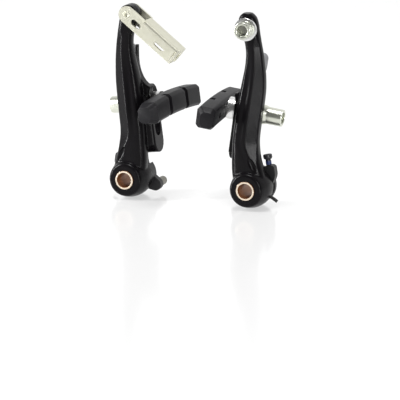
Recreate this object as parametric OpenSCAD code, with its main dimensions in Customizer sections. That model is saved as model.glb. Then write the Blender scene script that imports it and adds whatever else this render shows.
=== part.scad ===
// Mini linear-pull rim brake: two arms, each on its own frame boss.
// Millimetres, +Z up. The origin lies midway between the two pivot axes, on the plane
// where the sleeves seat on the bosses. +Y points away from the viewer, to the bike frame.
// Every side is drawn once as the right-hand one, x outwards, and mirrored for the left.

/* [Frame bosses] */
// Distance between the two pivot axes
boss_span = 68.2; // [64:0.2:76]
// Bore of the pivot sleeve, the diameter of a frame boss
boss_d = 8; // [7.6:0.1:8.4]
// Length of the pivot sleeve, from the boss seat to its front end
sleeve_len = 20.5; // [20:0.5:23]
// Wall of the pivot sleeve
sleeve_wall = 1; // [0.8:0.1:1.4]
// Running clearance between the sleeve and the arm, on the radius
pivot_gap = 0.05; // [0.02:0.01:0.1]

/* [Arm] */
// Outer diameter of the round hub at the arm's foot
hub_d = 21.6; // [20:0.2:23]
// Outer diameter of the boss in front of the hub
front_boss_d = 17.2; // [15:0.2:18]
// How far the sleeve stands out in front of the arm
sleeve_proud = 0.5; // [0.2:0.1:1]
// How far the front boss stands out from the hub
front_boss_step = 5; // [4:0.5:6]
// Radius of the round edges of the hub
hub_round = 1.6; // [0.8:0.2:2]
// Roundness of the arm's cross section, 2 is an ellipse
arm_power = 2.8; // [2.2:0.1:4]
// Depth of the long hollow on the inner side of the arm's front ridge
flute_depth = 0.7; // [0.3:0.1:1]
// How steeply the facet outside the front ridge falls back
facet_slope = 0.6; // [0.3:0.05:0.8]
// Height of the cable anchor bolt on the right arm
anchor_z = 85; // [83:0.5:87]
// Height of the noodle link's pin on the left arm
link_z = 88.5; // [87:0.5:89.5]

/* [Pad lug] */
// Height of the pad stud above the pivot
stud_z = 39; // [37:0.5:41]
// Distance of the stud's axis in front of the seat plane
stud_y = 3; // [2.5:0.25:3.5]
// How far the stud and the lug lean, with the arms standing open
stud_tilt = 7.7; // [4:0.1:10]
// Distance from the pivot axis in to the lug's inner face, at the stud
lug_face = 10.6; // [10:0.1:11.5]
// Thickness of the lug between its two washers
lug_t = 8; // [7:0.5:9]
// Width of the lug across the stud
lug_w = 12; // [11:0.5:13]
// Width of the slot that the stud slides in
slot_w = 7.4; // [7.2:0.1:7.8]
// How far the stud can slide down the slot
slot_travel = 14; // [10:1:16]

/* [Pad and its washers] */
// Length of the brake pad
pad_len = 58; // [52:1:62]
// Height of the brake pad
pad_h = 11.5; // [10:0.5:13]
// Thickness of the brake pad
pad_t = 10; // [9:0.5:11]
// Width of the two drainage grooves
groove_w = 2; // [1.5:0.25:3]
// Depth of the two drainage grooves
groove_d = 4.5; // [2:0.5:5]
// Angle between the pad and the rim's direction, far end inwards
pad_toe = 4; // [2:0.5:5]
// Radius that the pad's back and underside follow, that of the rim
rim_r = 270; // [200:10:300]
// Diameter of the pad stud
stud_d = 6; // [5:0.5:6]
// Diameter of the dome and cup washers
washer_d = 12; // [11:0.5:12]
// Height of a dome washer's rim, from which its ball rises
dome_rim = 0.6647615; // [0.4:0.0000001:1]
// Thickness of a dome and cup pair
washer_pair_t = 4.6; // [4.2:0.2:5.4]
// Gap between the spherical seats
seat_gap = 0.1; // [0.05:0.05:0.2]
// Thickness of the flat washer
flat_washer_t = 1; // [0.6:0.2:1.6]
// Outer diameter of the pad nut
nut_d = 8.6; // [8:0.2:9.4]
// Length of the pad nut
nut_len = 11.5; // [9:0.5:13]

/* [Cable hardware] */
// Diameter of the anchor bolt's thread
anchor_d = 6; // [5:0.5:6]
// Diameter of the anchor bolt's head
anchor_head_d = 9; // [8:0.5:10]
// Height of the anchor bolt's head
anchor_head_h = 4.6; // [3.5:0.2:6]
// Across flats of the hexagon sockets
hex_af = 5; // [4:0.5:5.5]
// Diameter of the clamp washer
clamp_washer_d = 12; // [11:0.5:13]
// Thickness of the clamp washer
clamp_washer_t = 1.6; // [1.2:0.2:2.2]
// Pin to mouth length of the noodle link
link_len = 34; // [30:1:38]
// Height of the link's side plates
link_h = 9; // [8:0.5:10]
// Thickness of the link's sheet steel
link_sheet = 1.2; // [0.8:0.1:1.4]
// Angle of the link below the horizontal, as it hangs in the picture
link_angle = 38; // [20:1:45]
// Diameter of the link's pin
link_pin_d = 4; // [3:0.5:5]

/* [Return spring] */
// Diameter of the spring wire
wire_d = 1.8; // [1.4:0.1:2]
// Number of turns of the coil
coil_turns = 2; // [1:0.5:2]
// Length of the spring carrier along the pivot
carrier_len = 6; // [6:0.5:7]
// Outer diameter of the spring carrier
carrier_d = 17.6; // [17.4:0.2:18.4]
// Diameter of the stopper pin that enters the frame
stopper_d = 4.8; // [4:0.2:5]
// How far the stopper pin stands out behind the seat plane
stopper_out = 8; // [6:0.5:10]
// How much thicker the pin is where it sits in the carrier
stopper_step = 0.6; // [0.4:0.1:1]
// Distance of the stopper pin from the pivot axis
stopper_r = 12; // [11.5:0.5:13]
// Height of the end of the spring's long leg
leg_top = 70; // [66:1:72]
// Diameter of the tension screw
tension_d = 2.5; // [2:0.1:2.6]

/* [Hidden] */
$fn = 48;
sleeve_r = boss_d / 2 + sleeve_wall;
arm_bore_r = sleeve_r + pivot_gap;
arm_front = sleeve_len - sleeve_proud;
axial_gap = 0.3;
hub_back = carrier_len + axial_gap;
hub_front = arm_front - front_boss_step;
lug_mid = lug_face - lug_t / 2;
stud_r = stud_d / 2;
stud_hole = stud_r + pivot_gap;
washer_back = lug_t / 2 + washer_pair_t;
pad_back = washer_back;
nut_seat = washer_back + flat_washer_t;
nut_grip = nut_len - 4;
link_gap = 0.25;
hook_z = leg_top - 5;
leg_x = -0.5;
leg_y = -2.4;
leg_clear = washer_d / 2 - stud_y + wire_d / 2 + 0.5;
lug_edge = 5.2;
lug_foot = 9;

// The arm's cross sections from the foot to the head, each as height, middle across,
// half width, distance of the middle in front of the seat plane, and half depth.
ARM = [
    [3, -0.6, 8.4, 12.2, 5.2], [10, -1.9, 7.9, 12.2, 5.4], [17, -2.6, 7.1, 12.3, 5.6],
    [25, -2.7, 6.7, 12.2, 5.8], [34, -1.9, 6.7, 12.0, 6.0], [44, -0.5, 6.8, 11.5, 5.9],
    [52, 0.8, 6.3, 11.2, 5.7], [59, 1.7, 5.5, 11.4, 5.2], [65, 2.3, 4.8, 11.9, 4.7],
    [72, 2.3, 4.4, 12.6, 4.1], [78, 1.5, 4.3, 13.1, 3.8], [83, 0.3, 4.7, 13.2, 3.75],
    [88, -0.9, 5.1, 13.2, 3.75], [91, -1.3, 4.3, 13.2, 3.6], [93, -1.4, 2.2, 13.2, 2.8]
];
head_front = 17;
head_back = 9.4;
anchor_x = -1;

// A side of the brake: 1 is the right one, -1 the left one.
module side(s) {
    translate([s * boss_span / 2, 0, 0])
        mirror([s < 0 ? 1 : 0, 0, 0])
            children();
}

// Turns Z to point forwards, at a distance y0 in front of the seat plane.
module forwards(x, y0, z) {
    translate([x, -y0, z])
        rotate([90, 0, 0])
            children();
}

// The stud's own frame: x along the stud and outwards, z up the slot, origin mid lug.
module at_stud() {
    translate([-lug_mid, -stud_y, stud_z])
        rotate([0, stud_tilt, 0])
            children();
}

// The pad's frame leans from the stud's by the pad's toe.
module at_pad() {
    at_stud()
        rotate([0, 0, pad_toe])
            children();
}

// Turns Z to run along the stud, outwards when d is 1 and inwards when it is -1.
module along_stud(d) {
    rotate([0, d * 90, 0])
        children();
}

// One value of a cubic curve through p1 and p2.
function spline(p0, p1, p2, p3, t) =
    0.5 * (2 * p1 + (p2 - p0) * t + (2 * p0 - 5 * p1 + 4 * p2 - p3) * t * t
        + (3 * p1 - p0 - 3 * p2 + p3) * t * t * t);

// The arm's sections, with steps more of them between each pair.
function smooth_rows(rows, steps) = [
    for (i = [0 : len(rows) - 2], k = [0 : steps - 1])
        spline(rows[max(i - 1, 0)], rows[i], rows[i + 1],
            rows[min(i + 2, len(rows) - 1)], k / steps),
    rows[len(rows) - 1]
];

// A power of a signed number.
function spow(v, p) = sign(v) * pow(abs(v), p);

// How deep the flute is at a height: it runs out at the foot and below the head.
function flute_at(z) = flute_depth * max(0, sin(min(180, max(0, (z - 12) / 68 * 180))));

// A step from 0 to 1 with soft ends.
function ease(t) = let (u = min(1, max(0, t))) u * u * (3 - 2 * u);

// Where the front ridge runs: near the middle, swinging outwards above the hub.
function ridge_at(row) =
    row[1] + 0.6 + 4.2 * ease((26 - row[0]) / 16) + 3 * ease((row[0] - 76) / 8);

// The arm's ring of points at one section: a rounded section, cut back by the facet
// outside the ridge and hollowed inside it.
function arm_ring(row, count) =
    let (ridge = ridge_at(row))
    [
        for (k = [0 : count - 1])
            let (a = k * 360 / count,
                 x = row[1] + row[2] * spow(cos(a), 2 / arm_power),
                 y = -row[3] + row[4] * spow(sin(a), 2 / arm_power),
                 facet = min(-row[3], facet_slope * (x - ridge) - row[3] - row[4]),
                 hollow = flute_at(row[0]) * exp(-pow((x - ridge + 2.6) / 1.5, 2)))
            [x, sin(a) > -0.3 ? y : (x > ridge ? max(y, facet) : y) + hollow, row[0]]
    ];

// A closed skin over rings of count points each.
module skin(rings) {
    n = len(rings[0]);
    m = len(rings);
    polyhedron(
        points = [for (r = rings, p = r) p],
        faces = [
            [for (k = [0 : n - 1]) k],
            for (i = [0 : m - 2], k = [0 : n - 1])
                [i * n + k, (i + 1) * n + k, (i + 1) * n + (k + 1) % n, i * n + (k + 1) % n],
            [for (k = [n - 1 : -1 : 0]) (m - 1) * n + k]
        ],
        convexity = 6);
}

// A round bar through points, as a tube of n flat sides.
function unit(v) = v / norm(v);
function tangent(p, i) = unit(p[min(i + 1, len(p) - 1)] - p[max(i - 1, 0)]);
module wire(path, r, n = 8) {
    skin([
        for (i = [0 : len(path) - 1])
            let (t = tangent(path, i),
                 ref = abs(t[1]) < 0.9 ? [0, 1, 0] : [1, 0, 0],
                 u = unit(cross(ref, t)),
                 v = cross(t, u))
            [for (k = [0 : n - 1])
                let (a = k * 360 / n)
                path[i] + r * (cos(a) * u + sin(a) * v)]
    ]);
}

// A disc along Z with rounded rims, from z = 0 to h.
module soft_disc(r, h, round_r) {
    rotate_extrude()
        polygon(concat(
            [[0, 0]],
            [for (a = [-90 : 15 : 0]) [r - round_r + round_r * cos(a), round_r + round_r * sin(a)]],
            [for (a = [0 : 15 : 90]) [r - round_r + round_r * cos(a), h - round_r + round_r * sin(a)]],
            [[0, h]]));
}

// The outline of the lug seen along the stud, as width across and height up the slot.
lug_low = slot_travel + slot_w / 2 + lug_foot;
lug_high = slot_w / 2 + lug_edge;
module lug_outline() {
    hull() {
        translate([0, lug_high - lug_w / 2])
            circle(r = lug_w / 2);
        translate([0, -lug_low + lug_w / 2])
            circle(r = lug_w / 2);
    }
}

// The lug that carries the pad, with its face square to the stud.
module pad_lug() {
    at_stud()
        along_stud(1)
            rotate([0, 0, 90])
                translate([0, 0, -lug_t / 2])
                    linear_extrude(lug_t)
                        lug_outline();
}

// The web that joins the lug to the body of the arm.
module lug_web() {
    at_stud()
        translate([-lug_t / 2 + 0.6, -lug_w / 2 - 2.4, -lug_low + 5])
            cube([lug_t - 1.2, lug_w / 2 + 2.4, lug_low + lug_high - 10]);
}

// The slot through the lug, square to its faces.
module pad_slot() {
    at_stud()
        along_stud(1)
            rotate([0, 0, 90])
                for (down = [0, slot_travel])
                    translate([0, -down, -lug_t])
                        cylinder(d = slot_w, h = 2 * lug_t);
    at_stud()
        translate([-lug_t, -slot_w / 2, -slot_travel])
            cube([2 * lug_t, slot_w, slot_travel]);
}

// Room for the outer washers and the nut beside the body, over the stud's whole travel.
relief = 0.8;
relief_d = washer_d + 2 * relief;
module washer_relief() {
    at_stud()
        translate([lug_t / 2, 0, 0]) {
            for (down = [0, slot_travel])
                translate([0, 0, -down])
                    along_stud(1)
                        cylinder(d = relief_d, h = 3 * lug_t);
            translate([0, -relief_d / 2, -slot_travel])
                cube([3 * lug_t, relief_d, slot_travel]);
        }
}

// The long body of the arm, from the hub to the head.
module arm_body() {
    skin([for (row = smooth_rows(ARM, 3)) arm_ring(row, 28)]);
}

// The forged arm without its holes.
module arm_blank() {
    arm_body();
    forwards(0, hub_back, 0)
        soft_disc(hub_d / 2, hub_front - hub_back, hub_round);
    forwards(0, hub_back + 1, 0)
        soft_disc(front_boss_d / 2, arm_front - hub_back - 1, hub_round);
    pad_lug();
    lug_web();
}

// An arm with a hole of diameter d at height z through its flat-faced head.
module arm(z, d) {
    difference() {
        union() {
            arm_blank();
            forwards(anchor_x, head_back, z)
                soft_disc(5, head_front - head_back, 0.6);
        }
        forwards(0, 0, 0)
            cylinder(r = arm_bore_r, h = sleeve_len + 5);
        forwards(anchor_x, 0, z)
            cylinder(d = d, h = sleeve_len + 5);
        pad_slot();
        washer_relief();
    }
}

module left_arm() {
    color("#17171a") side(-1) arm(link_z, link_pin_d);
}

module right_arm() {
    color("#17171a") side(1) arm(anchor_z, anchor_d);
}

// The bronze sleeve that the arm turns on and the frame boss goes into.
module pivot_sleeve(s) {
    color("#b5743a")
        side(s)
            difference() {
                forwards(0, 0, 0)
                    cylinder(r = sleeve_r, h = sleeve_len);
                forwards(0, -1, 0)
                    cylinder(d = boss_d, h = sleeve_len + 2);
            }
}

coil_r = carrier_d / 2 - 1.2 - wire_d / 2;
coil_pitch = wire_d + 0.15;
coil_back = 1 + wire_d / 2;
coil_front = coil_back + (coil_turns - 0.4) * coil_pitch;
leg_in = coil_r - 1.7;
coil_gap = 0.2;
short_a = -32;
end_a = 360 * coil_turns - 180;
short_tip = 14.5;
stopper_a = 205;
stopper_seat = 1;
ear_lean = 9;
ear_x = 7.8;
ear_z = 8;
ear_w = 7;
ear_top = 3.5;
ear_t = 4.2;
screw_y = 3.85;
wide = 3 * carrier_d;

// The carrier: a plastic cup round the sleeve that holds the coil, with a lobe for the
// stopper pin on the inner side and an ear for the tension screw on the outer side.
module carrier_outline() {
    circle(d = carrier_d);
    hull() {
        circle(d = carrier_d * 0.7);
        rotate(stopper_a)
            translate([stopper_r, 0])
                circle(d = stopper_d + stopper_step + 2.4);
    }
}

// Along the tension screw, with z up to its head.
module at_screw() {
    translate([ear_x, -screw_y, ear_z])
        rotate([0, -ear_lean, 0])
            children();
}

// Along the stopper pin, with z to the rear.
module at_stopper() {
    rotate([0, -stopper_a, 0])
        translate([stopper_r, -carrier_len + stopper_seat, 0])
            rotate([-90, 0, 0])
                children();
}

module spring_carrier(s) {
    color("#141414")
        side(s)
            difference() {
                union() {
                    forwards(0, 0, 0)
                        linear_extrude(carrier_len)
                            carrier_outline();
                    at_screw()
                        translate([-ear_w / 2, -carrier_len + screw_y, -ear_z])
                            cube([ear_w, ear_t, ear_z + ear_top]);
                }
                forwards(0, -1, 0)
                    cylinder(r = sleeve_r, h = carrier_len + 2);
                forwards(0, coil_back - wire_d / 2 - coil_gap, 0)
                    difference() {
                        cylinder(r = coil_r + wire_d / 2 + coil_gap, h = carrier_len);
                        translate([0, 0, -1])
                            cylinder(r = coil_r - wire_d / 2 - coil_gap, h = carrier_len + 2);
                    }
                // The way out for the short leg.
                rotate([0, -short_a, 0])
                    translate([coil_r, -carrier_len - 1, -wire_d / 2 - coil_gap])
                        cube([wide, carrier_len + 1 - coil_front + wire_d / 2 + coil_gap,
                            wire_d + 2 * coil_gap]);
                // The way out for the long leg, open to the rear.
                translate([-coil_r - wire_d / 2 - 2 * coil_gap, -coil_back - wire_d, -0.5])
                    cube([coil_r - leg_in + wire_d + 4 * coil_gap,
                        coil_back + wire_d + 1, wide]);
                at_screw()
                    translate([0, 0, -wide / 2])
                        cylinder(d = tension_d, h = wide);
                at_stopper()
                    cylinder(d = stopper_d + stopper_step, h = wide);
            }
}

// The steel pin that keeps the carrier from turning on the frame, with its pressed seat.
module stopper_pin(s) {
    color("#8d8c80")
        side(s)
            at_stopper() {
                soft_disc(stopper_d / 2, carrier_len - stopper_seat + stopper_out, 0.6);
                cylinder(d = stopper_d + stopper_step, h = carrier_len - stopper_seat);
            }
}

// The return spring: a coil, a short leg to the tension screw and a long leg up the arm.
turn_steps = 14;
function coil_point(a, y) = [coil_r * cos(a), y, coil_r * sin(a)];
COIL = [
    for (i = [0 : turn_steps * coil_turns])
        let (f = i / (turn_steps * coil_turns))
        coil_point(short_a + f * (end_a - short_a),
            -coil_front + f * (coil_front - coil_back))
];
SHORT_LEG = [
    for (r = [short_tip, coil_r + 1.6])
        [r * cos(short_a), -coil_front, r * sin(short_a)]
];
LONG_LEG = [
    [-coil_r + 0.4, -1.7, 4.5], [-leg_in, -0.7, 9], [-leg_in + 1.2, 1.8, 14],
    [-3.4, leg_clear, 20], [-3, leg_clear, 38], [-1.8, leg_clear - 1.2, 49],
    [-0.9, -0.4, 56], [leg_x, leg_y + 0.4, hook_z - 3], [leg_x, leg_y, leg_top]
];
module return_spring(s) {
    color("#1c1c1c")
        side(s)
            wire(concat(SHORT_LEG, COIL, LONG_LEG), wire_d / 2);
}

// The blackened tension screw in the carrier's ear.
screw_head_d = 4.8;
screw_head_h = 2.2;
screw_len = 19;
screw_out = 6.8;
screw_slot_w = 0.8;
screw_gap = 0.05;
module tension_screw(s) {
    color("#1b2440")
        side(s)
            at_screw()
                difference() {
                    union() {
                        translate([0, 0, screw_out - screw_len])
                            cylinder(d = tension_d - 2 * screw_gap, h = screw_len + 0.5);
                        translate([0, 0, screw_out])
                            soft_disc(screw_head_d / 2, screw_head_h, 0.5);
                    }
                    translate([-screw_head_d, -screw_slot_w / 2, screw_out + screw_head_h - 1])
                        cube([2 * screw_head_d, screw_slot_w, 2]);
                }
}

// The guide on the back of the arm that holds the end of the spring's long leg.
guide_w = 6;
guide_h = 11;
guide_back = 1.2;
guide_x = 3;
module spring_guide(s) {
    color("#6e6e70")
        side(s)
            difference() {
                translate([guide_x, 0, hook_z])
                    rotate([90, 0, 0])
                        linear_extrude(arm_front)
                            hull() {
                                translate([1, guide_h / 2 - guide_w / 2])
                                    circle(d = guide_w);
                                translate([0, -guide_h / 2 + guide_w / 2])
                                    circle(d = guide_w);
                            }
                translate([-wide, -guide_back, 0])
                    cube([2 * wide, wide, 2 * leg_top]);
                translate([-wide, -arm_front - 1, 0])
                    cube([2 * wide, arm_front + 1 - ARM[8][3] + 1, 2 * leg_top]);
                translate([leg_x - wire_d / 2 - coil_gap, leg_y - wire_d / 2 - coil_gap, 0])
                    cube([wire_d + 2 * coil_gap, wide, 2 * leg_top]);
                arm_body();
            }
}

// The pad's ring of points at a share f of its half length: eight corners of a chamfered
// section that follows the rim, drawn in where the end is bevelled.
pad_edge = 1.6;
pad_bevel = 3;
PAD_STATIONS = [-1, -0.88, -0.6, -0.3, 0, 0.3, 0.6, 0.88, 1];
function rim_drop(y) = rim_r - sqrt(rim_r * rim_r - y * y);
function pad_ring(f) =
    let (y = f * pad_len / 2,
         end = abs(f) > 0.9 ? 1 : 0,
         x1 = -pad_back,
         x0 = -pad_back - pad_t + end * pad_bevel,
         h = pad_h / 2 - end * pad_edge,
         e = pad_edge,
         d = -rim_drop(y))
    [
        [x0, y, -h + e + d], [x0, y, h - e + d], [x0 + e, y, h + d], [x1 - e, y, h + d],
        [x1, y, h - e + d], [x1, y, -h + e + d], [x1 - e, y, -h + d], [x0 + e, y, -h + d]
    ];

// The brake pad: three rubber blocks on one back, with bevelled ends.
module brake_pad(s) {
    color("#202022")
        side(s)
            at_pad()
                difference() {
                    skin([for (f = PAD_STATIONS) pad_ring(f)]);
                    for (gy = [-pad_len / 6, pad_len / 6])
                        translate([-pad_back - pad_t - 1, gy - groove_w / 2, -pad_h])
                            cube([groove_d + 1, groove_w, 2 * pad_h]);
                }
}

// The steel stud on the pad's back.
module pad_stud(s) {
    color("#b9b9b0")
        side(s)
            at_pad()
                translate([-pad_back, 0, 0])
                    along_stud(1)
                        cylinder(d = stud_d, h = pad_back + nut_seat + nut_grip);
}

// Dome and cup washers meet on a sphere round the middle of the lug, so that the stud
// can lean in them while the domes stay flat on the lug.
dome_hole = slot_w + 1;
function arc(r, a0, a1, steps) =
    [for (i = [0 : steps]) let (a = a0 + (a1 - a0) * i / steps) [r * cos(a), r * sin(a)]];

module dome(d) {
    along_stud(d)
        rotate_extrude()
            polygon(concat(
                [[dome_hole / 2, lug_t / 2], [washer_d / 2, lug_t / 2]],
                arc(dome_r, acos(washer_d / 2 / dome_r), acos(dome_hole / 2 / dome_r), 6)));
}

dome_r = norm([washer_d / 2, lug_t / 2 + dome_rim]);
cup_r = dome_r + seat_gap;
module cup(d) {
    along_stud(d)
        rotate_extrude()
            polygon(concat(
                [[stud_hole, washer_back], [washer_d / 2, washer_back]],
                arc(cup_r, acos(washer_d / 2 / cup_r), acos(stud_hole / cup_r), 6)));
}

module inner_dome(s) {
    color("#cfcfca") side(s) at_stud() dome(-1);
}

module outer_dome(s) {
    color("#cfcfca") side(s) at_stud() dome(1);
}

module inner_cup(s) {
    color("#d8d8d4") side(s) at_pad() cup(-1);
}

module outer_cup(s) {
    color("#d8d8d4") side(s) at_pad() cup(1);
}

module flat_washer(s) {
    color("#c4c4bc")
        side(s)
            at_pad()
                along_stud(1)
                    translate([0, 0, washer_back])
                        difference() {
                            cylinder(d = washer_d - 1.5, h = flat_washer_t);
                            translate([0, 0, -1])
                                cylinder(r = stud_hole, h = flat_washer_t + 2);
                        }
}

// The pad nut: a barrel with a flange and a hexagon socket in its outer end.
nut_flange = 1.4;
module pad_nut(s) {
    color("#b9bba8")
        side(s)
            at_pad()
                along_stud(1)
                    translate([0, 0, nut_seat])
                        difference() {
                            union() {
                                soft_disc(nut_d / 2 + 0.7, nut_flange, 0.3);
                                soft_disc(nut_d / 2, nut_len, 0.7);
                            }
                            translate([0, 0, -1])
                                cylinder(r = stud_hole, h = nut_grip + 1 + axial_gap);
                            translate([0, 0, nut_grip])
                                cylinder(d = hex_af / cos(30), h = nut_len, $fn = 6);
                        }
}

// The noodle link, a folded channel of sheet steel that hangs from the left arm's pin.
link_in = (head_front - head_back) / 2 + link_gap;
link_mid = (head_front + head_back) / 2;
link_mouth = 1.2;
spine_from = 9.5;
spine_len = link_len - spine_from;
module link_place() {
    translate([anchor_x, -link_mid, link_z])
        rotate([0, 180 - link_angle, 0])
            rotate([180, 0, 0])
                children();
}

// A side plate of the link, round the pin at one end, with its look-through hole.
module link_plate(window) {
    difference() {
        hull() {
            circle(d = link_h);
            translate([link_len - 1, -link_h / 2])
                square([1, link_h]);
        }
        if (window) {
            hull()
                for (x = [5.6, 8.2])
                    translate([x, -0.4])
                        circle(d = 2.6);
            hull()
                for (x = [22.4, 27])
                    translate([x, -1.2])
                        circle(d = 1.5);
        }
    }
}

module noodle_link() {
    color("#c9c8b0")
        side(-1)
            link_place()
                difference() {
                    union() {
                        for (y = [-link_in - link_sheet, link_in])
                            translate([0, y + link_sheet, 0])
                                rotate([90, 0, 0])
                                    linear_extrude(link_sheet)
                                        link_plate(true);
                        translate([spine_from, -link_in - link_sheet, link_h / 2 - link_sheet])
                            cube([spine_len, 2 * (link_in + link_sheet), link_sheet]);
                        translate([link_len - link_sheet, -link_in - link_sheet, -link_h / 2])
                            cube([link_sheet, 2 * (link_in + link_sheet), link_h]);
                    }
                    rotate([90, 0, 0])
                        translate([0, 0, -wide / 2])
                            cylinder(r = link_pin_d / 2, h = wide);
                    // The mouth for the noodle's tip, with the slot that the cable drops in by.
                    translate([link_len - 2 * link_sheet, 0, 0])
                        rotate([0, 90, 0])
                            cylinder(d = noodle_d, h = 4 * link_sheet);
                    translate([link_len - 2 * link_sheet, -link_mouth, -link_h])
                        cube([4 * link_sheet, 2 * link_mouth, link_h]);
                }
}
noodle_d = 4.6;

// The pin that the link turns on, riveted over both side plates.
module link_pin() {
    color("#a9a894")
        side(-1)
            forwards(anchor_x, link_mid - link_in - link_sheet - rivet_h, link_z) {
                cylinder(d = link_pin_d - 2 * pivot_gap,
                    h = 2 * (link_in + link_sheet + rivet_h));
                for (z = [0, 2 * (link_in + link_sheet) + rivet_h])
                    translate([0, 0, z])
                        soft_disc(link_pin_d / 2 + 0.8, rivet_h, 0.25);
            }
}
rivet_h = 0.6;

// The anchor bolt with its socket head, through the right arm's head.
module anchor_bolt() {
    color("#c6c6bd")
        side(1)
            difference() {
                union() {
                    forwards(anchor_x, head_back - bolt_tail, anchor_z)
                        cylinder(d = anchor_d - 2 * pivot_gap,
                            h = head_front - head_back + bolt_tail + clamp_washer_t);
                    forwards(anchor_x, head_front + clamp_washer_t, anchor_z)
                        soft_disc(anchor_head_d / 2, anchor_head_h, 0.6);
                }
                forwards(anchor_x, head_front + clamp_washer_t + anchor_head_h - socket_deep,
                    anchor_z)
                    cylinder(d = hex_af / cos(30), h = 10, $fn = 6);
            }
}
bolt_tail = 2;
socket_deep = 3.2;

// The clamp washer, with the groove that the cable lies in and its bent tab.
groove_cable = 1.6;
module anchor_washer() {
    color("#d2d2cc")
        side(1)
            difference() {
                forwards(anchor_x, head_front, anchor_z)
                    soft_disc(clamp_washer_d / 2, clamp_washer_t, 0.3);
                forwards(anchor_x, head_front - 1, anchor_z)
                    cylinder(d = anchor_d, h = clamp_washer_t + 2);
                translate([anchor_x - groove_x, -head_front - 0.1, anchor_z - clamp_washer_d])
                    cylinder(d = groove_cable, h = 2 * clamp_washer_d, $fn = 24);
            }
}
groove_x = anchor_d / 2 + 1.2;

left_arm();
pivot_sleeve(-1);  // left_pivot_sleeve
spring_carrier(-1);  // left_spring_carrier
stopper_pin(-1);  // left_stopper_pin
return_spring(-1);  // left_return_spring
tension_screw(-1);  // left_tension_screw
spring_guide(-1);  // left_spring_guide
brake_pad(-1);  // left_brake_pad
pad_stud(-1);  // left_pad_stud
inner_dome(-1);  // left_inner_dome
inner_cup(-1);  // left_inner_cup
outer_cup(-1);  // left_outer_cup
outer_dome(-1);  // left_outer_dome
flat_washer(-1);  // left_flat_washer
pad_nut(-1);  // left_pad_nut
noodle_link();
link_pin();
right_arm();
pivot_sleeve(1);  // right_pivot_sleeve
spring_carrier(1);  // right_spring_carrier
stopper_pin(1);  // right_stopper_pin
return_spring(1);  // right_return_spring
tension_screw(1);  // right_tension_screw
spring_guide(1);  // right_spring_guide
brake_pad(1);  // right_brake_pad
pad_stud(1);  // right_pad_stud
inner_dome(1);  // right_inner_dome
inner_cup(1);  // right_inner_cup
outer_cup(1);  // right_outer_cup
outer_dome(1);  // right_outer_dome
flat_washer(1);  // right_flat_washer
pad_nut(1);  // right_pad_nut
anchor_bolt();
anchor_washer();
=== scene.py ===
# %% [markdown]
# # A mini rim brake, dressed for its picture
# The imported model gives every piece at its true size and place. This lesson puts the
# finish on it: smooth forged arms, turned steel, moulded rubber and a folded steel link.

# %% Load the frame
import math

import bmesh
import bpy
import numpy as np
from mathutils import Matrix, Vector


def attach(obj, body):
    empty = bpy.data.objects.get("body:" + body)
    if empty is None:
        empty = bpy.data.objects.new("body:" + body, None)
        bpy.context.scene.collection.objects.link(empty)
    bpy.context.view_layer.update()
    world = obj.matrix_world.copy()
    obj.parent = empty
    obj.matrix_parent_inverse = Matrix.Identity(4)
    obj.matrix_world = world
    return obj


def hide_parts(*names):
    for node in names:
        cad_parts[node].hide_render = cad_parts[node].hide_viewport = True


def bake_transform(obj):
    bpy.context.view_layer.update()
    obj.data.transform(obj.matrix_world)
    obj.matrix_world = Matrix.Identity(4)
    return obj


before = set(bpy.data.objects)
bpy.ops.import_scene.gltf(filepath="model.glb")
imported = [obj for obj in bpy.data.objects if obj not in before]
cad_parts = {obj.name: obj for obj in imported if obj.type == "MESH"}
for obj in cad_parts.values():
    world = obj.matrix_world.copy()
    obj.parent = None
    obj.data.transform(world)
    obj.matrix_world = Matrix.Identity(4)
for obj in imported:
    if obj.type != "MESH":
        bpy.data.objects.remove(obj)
print("pieces in the frame:", len(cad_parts))
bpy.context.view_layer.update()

# %% [markdown]
# ## The camera
# The picture was taken with a long lens from the front right and a little above. The
# camera stands on that line of sight, and a small shift puts the pair where it stood.

# %% Camera
IMAGE = 400                      # pixels across and down
AZIMUTH = math.radians(21.6)     # to the right of straight ahead
ELEVATION = math.radians(13.4)
DISTANCE = 1.5                   # metres
PIXELS_PER_MM = 1.9
AIM = Vector((0, -0.016, 0))     # this point of the brake ...
AIM_PIXEL = (187, 184)           # ... is seen at this pixel

sight = Vector((-math.sin(AZIMUTH) * math.cos(ELEVATION),
                math.cos(AZIMUTH) * math.cos(ELEVATION), -math.sin(ELEVATION)))
camera_data = bpy.data.cameras.new("camera")
camera = bpy.data.objects.new("camera", camera_data)
bpy.context.scene.collection.objects.link(camera)
camera.location = AIM - sight * DISTANCE
camera.rotation_euler = sight.to_track_quat("-Z", "Y").to_euler()
camera_data.sensor_width = 36
camera_data.lens = PIXELS_PER_MM * 1000 * DISTANCE * camera_data.sensor_width / IMAGE
camera_data.shift_x = (IMAGE / 2 - AIM_PIXEL[0]) / IMAGE
camera_data.shift_y = -(IMAGE / 2 - AIM_PIXEL[1]) / IMAGE
camera_data.clip_end = 20
bpy.context.scene.camera = camera
print("lens in mm:", round(camera_data.lens))

# %% [markdown]
# ## Driving sizes
# The pieces below repeat the sizes of the real parts, in millimetres. Each side of the
# brake is made as the right-hand one, with x outwards, and the left one is its mirror.

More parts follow.
